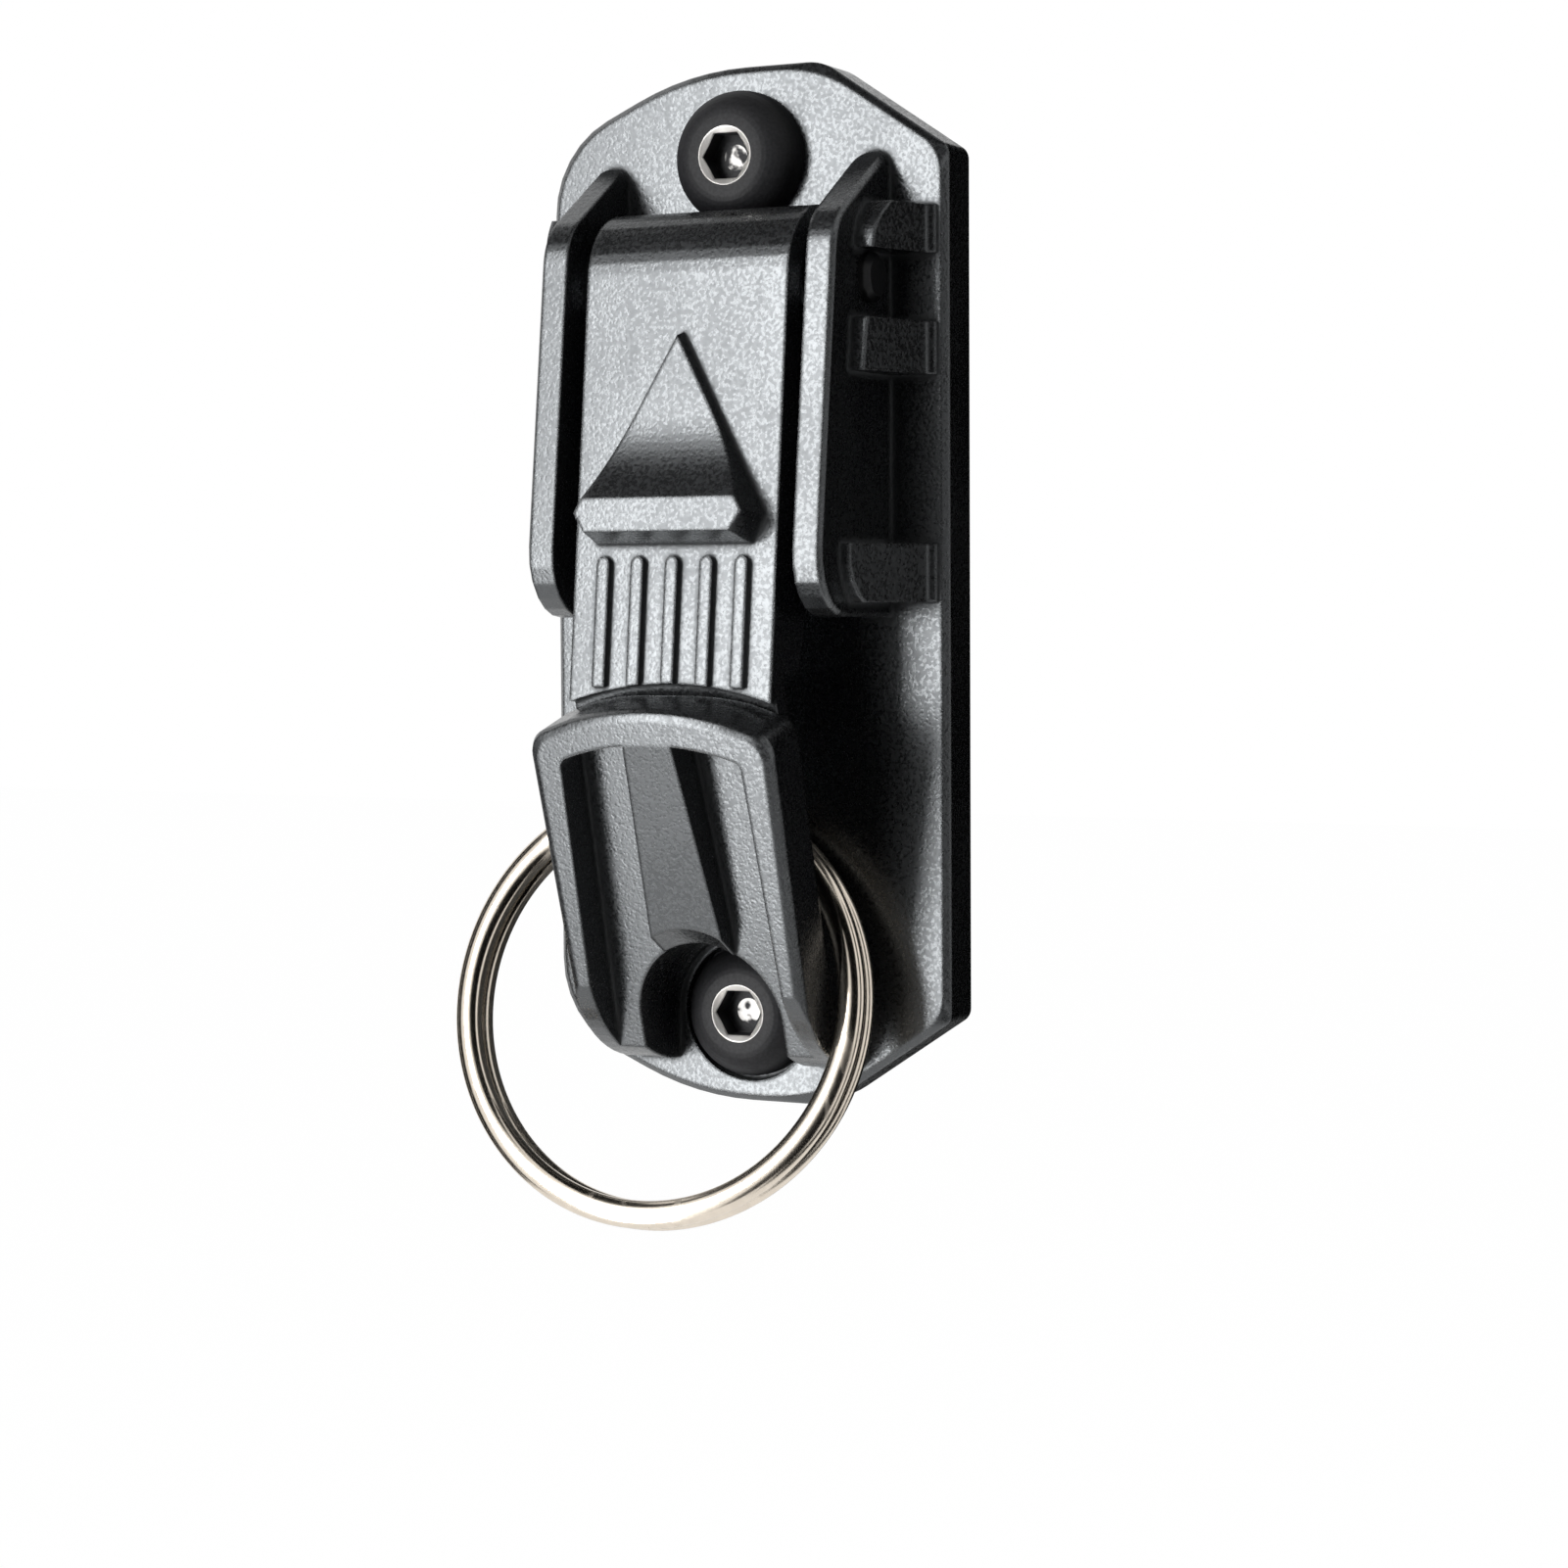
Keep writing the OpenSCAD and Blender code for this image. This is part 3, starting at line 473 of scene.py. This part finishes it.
class Palette:
    """Every finish of the clip, made once."""

    def __init__(self) -> None:
        """Builds the shared groups and the materials."""
        self.groups = groups = Groups(PebbleGrain(), HandlingWear(), EasedEdges(), Crevices())
        self.nylon = Finish(
            "black_grained_nylon", colour=(0.016, 0.0165, 0.0175), wear_and_edge_highlight_colour=(0.045, 0.046, 0.048),
            roughness=0.29, specular=1.0, tint=(0.93, 0.97, 1.0), ior=1.58, crevice_roughness=0.6,
            grain_scale=4200.0, grain_depth=0.014 * MM, grain_tone=0.1, grain_roughness=0.055,
            patch_roughness=0.03, scuff_roughness=0.03, edge_radius=0.4 * MM,
        ).material(groups)
        self.black_steel = Finish(
            "blackened_steel", colour=(0.018, 0.018, 0.02), wear_and_edge_highlight_colour=(0.1, 0.1, 0.1),
            roughness=0.42, specular=0.35,
            grain_scale=5200.0, grain_depth=0.004 * MM, edge_radius=0.2 * MM, edge_wear_and_highlight_share=0.3,
        ).material(groups)
        self.nickel = Finish(
            "polished_nickel", colour=(0.74, 0.66, 0.56), wear_and_edge_highlight_colour=(0.84, 0.79, 0.72),
            roughness=0.18, metallic=1.0,
            grain_scale=1400.0, grain_depth=0.002 * MM, grain_tone=0.03,
            patch_roughness=0.05, scuff_roughness=0.16, edge_radius=0.15 * MM,
        ).material(groups)
        self.spring_steel = Finish(
            "spring_wire_steel", colour=(0.5, 0.5, 0.51), wear_and_edge_highlight_colour=(0.7, 0.7, 0.7),
            roughness=0.3, metallic=1.0,
            grain_scale=2600.0, grain_depth=0.003 * MM, grain_tone=0.1, edge_radius=0.1 * MM,
        ).material(groups)
        self.zinc = Finish(
            "bright_zinc_plate", colour=(0.6, 0.62, 0.66), wear_and_edge_highlight_colour=(0.75, 0.76, 0.78),
            roughness=0.34, metallic=1.0,
            grain_scale=1800.0, grain_depth=0.004 * MM, grain_tone=0.08, edge_radius=0.2 * MM,
        ).material(groups)
        self.brass = Finish(
            "turned_brass", colour=(0.72, 0.5, 0.22), wear_and_edge_highlight_colour=(0.85, 0.66, 0.36),
            roughness=0.28, metallic=1.0,
            grain_scale=1800.0, grain_depth=0.004 * MM, grain_tone=0.08, edge_radius=0.2 * MM,
        ).material(groups)

    def screw_steel(self, screw: bpy.types.Object) -> bpy.types.Material:
        """Builds the finish of one screw, whose worn socket follows the screw's own axis and face.

        Args:
            screw: the screw's object.

        Returns:
            The new material.
        """
        corners = [Vector(corner) for corner in screw.bound_box]
        heights = [corner.z for corner in corners]
        return SocketedSteel(
            f"blackened_{screw.name}", colour=(0.018, 0.018, 0.02), wear_and_edge_highlight_colour=(0.1, 0.1, 0.1),
            roughness=0.5, specular=0.2,
            grain_scale=5200.0, grain_depth=0.006 * MM, edge_radius=0.2 * MM, edge_wear_and_highlight_share=0.2,
            axis_height=(min(heights) + max(heights)) / 2, face_y=min(corner.y for corner in corners),
        ).material(self.groups)


@dataclass(frozen=True)
class CadPart:
    """A CAD node that keeps its shape and gets its finish."""

    node: str

    @property
    def shape(self) -> bpy.types.Object:
        """The node's object."""
        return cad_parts[self.node]

    def dress(self, material: bpy.types.Material) -> bpy.types.Object:
        """Gives every material slot of the node the finish.

        Args:
            material: the finish.

        Returns:
            The node's object.
        """
        for place in self.shape.material_slots:
            place.material = material
        return self.shape


@dataclass
class SweptWire:
    """A wire made by sweeping a section along a path."""

    name: str
    path: list[Vector]
    section: list[tuple[float, float]]
    side: Vector

    def mesh(self) -> bpy.types.Object:
        """Builds the wire with closed ends.

        Returns:
            The wire's object, shaded smooth.
        """
        shape = bmesh.new()
        rings = [self.ring(shape, i) for i in range(len(self.path))]
        count = len(self.section)
        for low, high in zip(rings, rings[1:]):
            for k in range(count):
                shape.faces.new((low[k], low[(k + 1) % count], high[(k + 1) % count], high[k]))
        shape.faces.new(rings[0][::-1])
        shape.faces.new(rings[-1])
        bmesh.ops.recalc_face_normals(shape, faces=shape.faces)
        made = bpy.data.meshes.new(self.name)
        shape.to_mesh(made)
        shape.free()
        made.polygons.foreach_set("use_smooth", [p.loop_total == 4 for p in made.polygons])
        piece = bpy.data.objects.new(self.name, made)
        bpy.context.scene.collection.objects.link(piece)
        return piece

    def ring(self, shape: bmesh.types.BMesh, index: int) -> list[bmesh.types.BMVert]:
        """Adds the section's points at one point of the path.

        Args:
            shape: the mesh that is being built.
            index: the point's place on the path.

        Returns:
            The new vertices.
        """
        last = len(self.path) - 1
        along = (self.path[min(index + 1, last)] - self.path[max(index - 1, 0)]).normalized()
        second = (self.side - self.side.dot(along) * along).normalized()
        first = second.cross(along)
        return [shape.verts.new(self.path[index] + first * a + second * b) for a, b in self.section]


def oval(half_a: float, half_b: float, power: float, count: int) -> list[tuple[float, float]]:
    """A rounded section between an ellipse and a rectangle.

    Args:
        half_a: half the first side.
        half_b: half the second side.
        power: 2 for an ellipse, and more for squarer corners.
        count: the number of points.

    Returns:
        The section's points.
    """
    def bent(value: float) -> float:
        """Bends a sine or cosine towards the corner."""
        return math.copysign(abs(value) ** (2 / power), value)

    angles = [math.tau * k / count for k in range(count)]
    return [(half_a * bent(math.cos(a)), half_b * bent(math.sin(a))) for a in angles]


@dataclass
class SplitRing:
    """The double coil of flattened wire that hangs from the neck of the hook."""

    outer: float = 35.0 * MM
    wire_width: float = 2.2 * MM
    wire_height: float = 1.4 * MM
    coil_pitch: float = 1.85 * MM
    centre: tuple[float, float, float] = (-4.7 * MM, -12.9 * MM, -32.5 * MM)
    tilt: float = 13.5
    yaw: float = 3.3
    joint_angle: float = 92.0
    joint_half: float = 14.0
    end_angle: float = 8.0
    coils: int = 2
    steps: int = 200
    section_points: int = 20
    section_power: float = 2.0

    def rise(self, angle: float) -> float:
        """Returns the wire's height above the ring's middle plane, at an angle along the wire."""
        share = min(1.0, max(0.0, (angle - FULL_TURN + self.joint_half) / (2 * self.joint_half)))
        eased = share * share * (3 - 2 * share)
        return self.coil_pitch * (eased - 0.5)

    def turn(self) -> Matrix:
        """Returns how the ring stands: tipped up on its edge, leaning and turned to the side."""
        lean = Matrix.Rotation(math.radians(90 - self.tilt), 4, "X")
        return Matrix.Rotation(math.radians(self.yaw), 4, "Z") @ lean

    def path(self) -> list[Vector]:
        """Returns the wire's centre line in the row frame."""
        place = Matrix.Translation(self.centre) @ self.turn()
        radius = (self.outer - self.wire_width) / 2
        span = self.coils * FULL_TURN - 2 * self.end_angle
        count = round(span * self.steps / FULL_TURN)
        points = []
        for i in range(count + 1):
            angle = self.end_angle + span * i / count
            around = math.radians(angle + self.joint_angle)
            flat = (radius * math.cos(around), radius * math.sin(around))
            points.append(place @ Vector((*flat, self.rise(angle))))
        return points

    def axis(self) -> Vector:
        """Returns the direction of the ring's axis in the row frame."""
        return self.turn() @ Vector((0, 0, 1))

    def build(self, finish: bpy.types.Material) -> bpy.types.Object:
        """Builds the ring in place of its CAD node.

        Args:
            finish: the ring's material.

        Returns:
            The ring's object.
        """
        section = oval(self.wire_width / 2, self.wire_height / 2, self.section_power, self.section_points)
        ring = SweptWire("key_split_ring", self.path(), section, self.axis()).mesh()
        ring.data.materials.append(finish)
        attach(ring, Body.RING.value)
        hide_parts("split_ring")
        return ring


@dataclass(frozen=True)
class Clip:
    """The belt clamp: both plates, the screws, spacers and inserts, and the hinge hardware."""

    moulded: tuple[CadPart, ...] = (CadPart("front_body"), CadPart("back_plate"))
    screws: tuple[CadPart, ...] = (CadPart("upper_screw"), CadPart("lower_screw"))
    spacers: tuple[CadPart, ...] = (CadPart("upper_spacer"), CadPart("lower_spacer"))
    inserts: tuple[CadPart, ...] = (CadPart("upper_insert"), CadPart("lower_insert"))
    hinge: tuple[CadPart, ...] = (CadPart("hinge_pin"), CadPart("pin_retainer"))

    def dress(self, palette: Palette) -> list[bpy.types.Object]:
        """Gives each part its finish.

        Args:
            palette: the clip's finishes.

        Returns:
            The dressed objects.
        """
        done = [part.dress(palette.nylon) for part in self.moulded]
        done += [part.dress(palette.screw_steel(part.shape)) for part in self.screws]
        done += [part.dress(palette.zinc) for part in self.spacers]
        done += [part.dress(palette.brass) for part in self.inserts]
        done += [part.dress(palette.black_steel) for part in self.hinge]
        return done


@dataclass(frozen=True)
class TorsionSpring:
    """The hinge's spring, whose legs bear on the plate and the lever; here it keeps its CAD shape and
    does not twist.
    """

    node: str = "torsion_spring"
    wire: float = 0.7 * MM

    def build(self, finish: bpy.types.Material) -> bpy.types.Object:
        """Builds the spring in place of its CAD node, with the same shape.

        Args:
            finish: the spring's material.

        Returns:
            The spring's object.
        """
        source = CadPart(self.node).shape
        coil = source.data.copy()
        coil.transform(source.matrix_world)
        coil.materials.clear()
        coil.materials.append(finish)
        spring = bpy.data.objects.new("lever_torsion_spring", coil)
        bpy.context.scene.collection.objects.link(spring)
        low, high = (Vector(corner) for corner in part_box(self.node))
        start, end = (low + high) / 2, (low + high) / 2
        start.x, end.x = low.x + self.wire, high.x - self.wire
        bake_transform(spring)
        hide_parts(self.node)
        return spring


@dataclass(frozen=True)
class Gate:
    """The sprung thumb lever that closes the hook, and its spring."""

    lever: CadPart = CadPart("gate_lever")
    spring: TorsionSpring = TorsionSpring()

    def dress(self, palette: Palette) -> list[bpy.types.Object]:
        """Gives the lever its finish, builds the spring and returns both."""
        return [self.lever.dress(palette.nylon), self.spring.build(palette.spring_steel)]


@dataclass
class Camera:
    """The camera that the photograph was taken with, as fitted to the part."""

    place: tuple[float, float, float] = (0.12022, -0.24149, 0.000108)
    yaw: float = 26.515
    pitch: float = -3.375
    roll: float = -0.339
    lens: float = 76.81
    sensor: float = 36.0
    nearest: float = 10.0 * MM

    def add(self) -> None:
        """Adds the camera and makes it the scene's."""
        made = bpy.data.cameras.new("photo_camera")
        made.lens = self.lens
        made.sensor_width = self.sensor
        made.sensor_fit = "HORIZONTAL"
        made.clip_start = self.nearest
        yaw, pitch, roll = (math.radians(a) for a in (self.yaw, self.pitch, self.roll))
        flat = math.cos(pitch)
        ahead = Vector((-math.sin(yaw) * flat, math.cos(yaw) * flat, math.sin(pitch)))
        level = Vector((math.cos(yaw), math.sin(yaw), 0.0))
        above = level.cross(ahead)
        right = math.cos(roll) * level + math.sin(roll) * above
        up = math.cos(roll) * above - math.sin(roll) * level
        camera = bpy.data.objects.new("photo_camera", made)
        facing = Matrix((right, up, -ahead)).transposed().to_4x4()
        camera.matrix_world = Matrix.Translation(self.place) @ facing
        bpy.context.scene.collection.objects.link(camera)
        bpy.context.scene.camera = camera


@dataclass(frozen=True)
class Aim:
    """A place around the clip that faces it. Its azimuth runs from the front to the viewer's right."""

    azimuth: float
    elevation: float
    distance: float
    height: float = 0.0

    def matrix(self) -> Matrix:
        """Returns the place, with its Z axis away from the clip."""
        azimuth, elevation = math.radians(self.azimuth), math.radians(self.elevation)
        level = math.cos(elevation)
        away = Vector((math.sin(azimuth) * level, -math.cos(azimuth) * level, math.sin(elevation)))
        turn = away.to_track_quat("Z", "Y").to_matrix().to_4x4()
        return Matrix.Translation(away * self.distance + Vector((0, 0, self.height))) @ turn


@dataclass(frozen=True)
class Lamp:
    """A soft rectangular lamp that points at the clip."""

    name: str
    aim: Aim
    width: float
    height: float
    radiance: float

    def add(self) -> None:
        """Adds the lamp, which the camera itself doesn't see."""
        made = bpy.data.lights.new(self.name, "AREA")
        made.shape = "RECTANGLE"
        made.size, made.size_y = self.width, self.height
        made.energy = self.radiance * math.pi * self.width * self.height
        lamp = bpy.data.objects.new(self.name, made)
        lamp.matrix_world = self.aim.matrix()
        lamp.visible_camera = False
        bpy.context.scene.collection.objects.link(lamp)


def flat_sheet(name: str, half_a: float, half_b: float, material: bpy.types.Material) -> bpy.types.Object:
    """Makes a flat rectangle for the studio.

    Args:
        name: the object's name.
        half_a: half its first side.
        half_b: half its second side.
        material: its material.

    Returns:
        The new object.
    """
    shape = bmesh.new()
    corners = ((-1, -1), (1, -1), (1, 1), (-1, 1))
    shape.faces.new([shape.verts.new((a * half_a, b * half_b, 0.0)) for a, b in corners])
    mesh = bpy.data.meshes.new(name)
    shape.to_mesh(mesh)
    shape.free()
    mesh.materials.append(material)
    made = bpy.data.objects.new(name, mesh)
    bpy.context.scene.collection.objects.link(made)
    return made


@dataclass(frozen=True)
class DarkCard:
    """A dark card, seen only in reflections, that gives metal and gloss something dark to show."""

    name: str
    aim: Aim
    half_width: float
    half_height: float

    def add(self, paint: bpy.types.Material) -> None:
        """Adds the card."""
        card = flat_sheet(self.name, self.half_width, self.half_height, paint)
        card.matrix_world = self.aim.matrix()
        card.visible_camera = False
        card.visible_diffuse = False
        card.visible_shadow = False


@dataclass
class Studio:
    """The floor, the white surroundings and the lamps."""

    floor_height: float = -0.24
    floor_half: float = 3.0
    floor_white: float = 0.9
    floor_shadow: float = 0.1
    floor_glow: float = 1.1
    ambient: float = 0.05
    card_grey: float = 0.01
    lamps: tuple[Lamp, ...] = (
        Lamp("key_strip", Aim(-24.0, 0.0, 0.32, -0.04), width=0.08, height=0.44, radiance=10.4),
        Lamp("key_upper", Aim(-25.0, 35.0, 0.34), width=0.085, height=0.07, radiance=1.1),
        Lamp("top_fill", Aim(10.0, 70.0, 0.8), width=0.6, height=0.4, radiance=0.3),
    )
    cards: tuple[DarkCard, ...] = (
        DarkCard("card_behind_right", Aim(150.0, 0.0, 0.3), half_width=0.26, half_height=0.3),
        DarkCard("card_behind_low", Aim(-166.0, -25.0, 0.3), half_width=0.08, half_height=0.08),
        DarkCard("card_right", Aim(72.0, 0.0, 0.3), half_width=0.045, half_height=0.3),
        DarkCard("card_front_right", Aim(22.0, 0.0, 0.36), half_width=0.16, half_height=0.36),
        DarkCard("card_front_left", Aim(-64.0, 0.0, 0.36), half_width=0.06, half_height=0.36),
        DarkCard("card_left", Aim(-88.0, 0.0, 0.3), half_width=0.07, half_height=0.3),
        DarkCard("card_high_left", Aim(-48.0, 52.0, 0.34), half_width=0.1, half_height=0.07),
        DarkCard("card_top", Aim(0.0, 80.0, 0.3), half_width=0.2, half_height=0.16),
        DarkCard("card_below", Aim(60.0, -60.0, 0.3), half_width=0.16, half_height=0.12),
    )

    def add(self) -> None:
        """Adds the camera, the lamps, the cards, the surroundings and the floor."""
        Camera().add()
        for lamp in self.lamps:
            lamp.add()
        paint = bpy.data.materials.new("card_paint")
        paint.use_nodes = True
        surface = paint.node_tree.nodes["Principled BSDF"].inputs
        surface["Base Color"].default_value = (self.card_grey, self.card_grey, self.card_grey, 1.0)
        surface["Specular IOR Level"].default_value = 0.0
        for card in self.cards:
            card.add(paint)
        self.surroundings()
        self.floor()
        bpy.context.scene.view_settings.view_transform = "Standard"

    @staticmethod
    def seen(nodes: Nodes) -> bpy.types.NodeSocket:
        """Returns 1 for camera, reflected and refracted rays, and 0 for diffuse light."""
        rays = nodes.add("LightPath").outputs
        sharp = nodes.math("MAXIMUM", rays["Is Glossy Ray"], rays["Is Transmission Ray"])
        return nodes.math("MAXIMUM", rays["Is Camera Ray"], sharp)

    def surroundings(self) -> None:
        """Makes a world that shows white and lights the clip softly."""
        world = bpy.data.worlds.new("studio")
        bpy.context.scene.world = world
        world.use_nodes = True
        world.node_tree.nodes.clear()
        nodes = Nodes(world.node_tree)
        backdrop = nodes.add("Background")
        nodes.feed(backdrop.inputs["Strength"], nodes.math("MAXIMUM", self.seen(nodes), self.ambient))
        nodes.feed(nodes.add("OutputWorld").inputs["Surface"], backdrop.outputs[0])
        backdrop.inputs["Color"].default_value = (1.0, 1.0, 1.0, 1.0)

    def floor(self) -> None:
        """Makes the pale floor, which keeps a soft shadow."""
        made = bpy.data.materials.new("studio_floor")
        made.use_nodes = True
        made.node_tree.nodes.clear()
        nodes = Nodes(made.node_tree)
        paint = nodes.add("BsdfDiffuse")
        paint.inputs["Color"].default_value = (self.floor_white, self.floor_white, self.floor_white, 1.0)
        glow = nodes.add("Emission")
        glow.inputs["Strength"].default_value = self.floor_glow
        blend = nodes.add("MixShader")
        nodes.feed(blend.inputs[0], nodes.math("MULTIPLY", self.seen(nodes), 1 - self.floor_shadow))
        nodes.feed(blend.inputs[1], paint.outputs[0])
        nodes.feed(blend.inputs[2], glow.outputs[0])
        nodes.feed(nodes.add("OutputMaterial").inputs["Surface"], blend.outputs[0])
        flat_sheet("studio_floor", self.floor_half, self.floor_half, made).location.z = self.floor_height


def main() -> None:
    """Dresses every sub-assembly in order, reports each piece and adds the studio."""
    logging.basicConfig(level=logging.INFO, format="%(message)s")
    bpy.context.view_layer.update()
    palette = Palette()
    pieces = Clip().dress(palette) + Gate().dress(palette) + [SplitRing().build(palette.nickel)]
    for piece in pieces:
        LOG.info("dressed %s", piece.name)
    Studio().add()


if __name__ == "__main__":
    main()
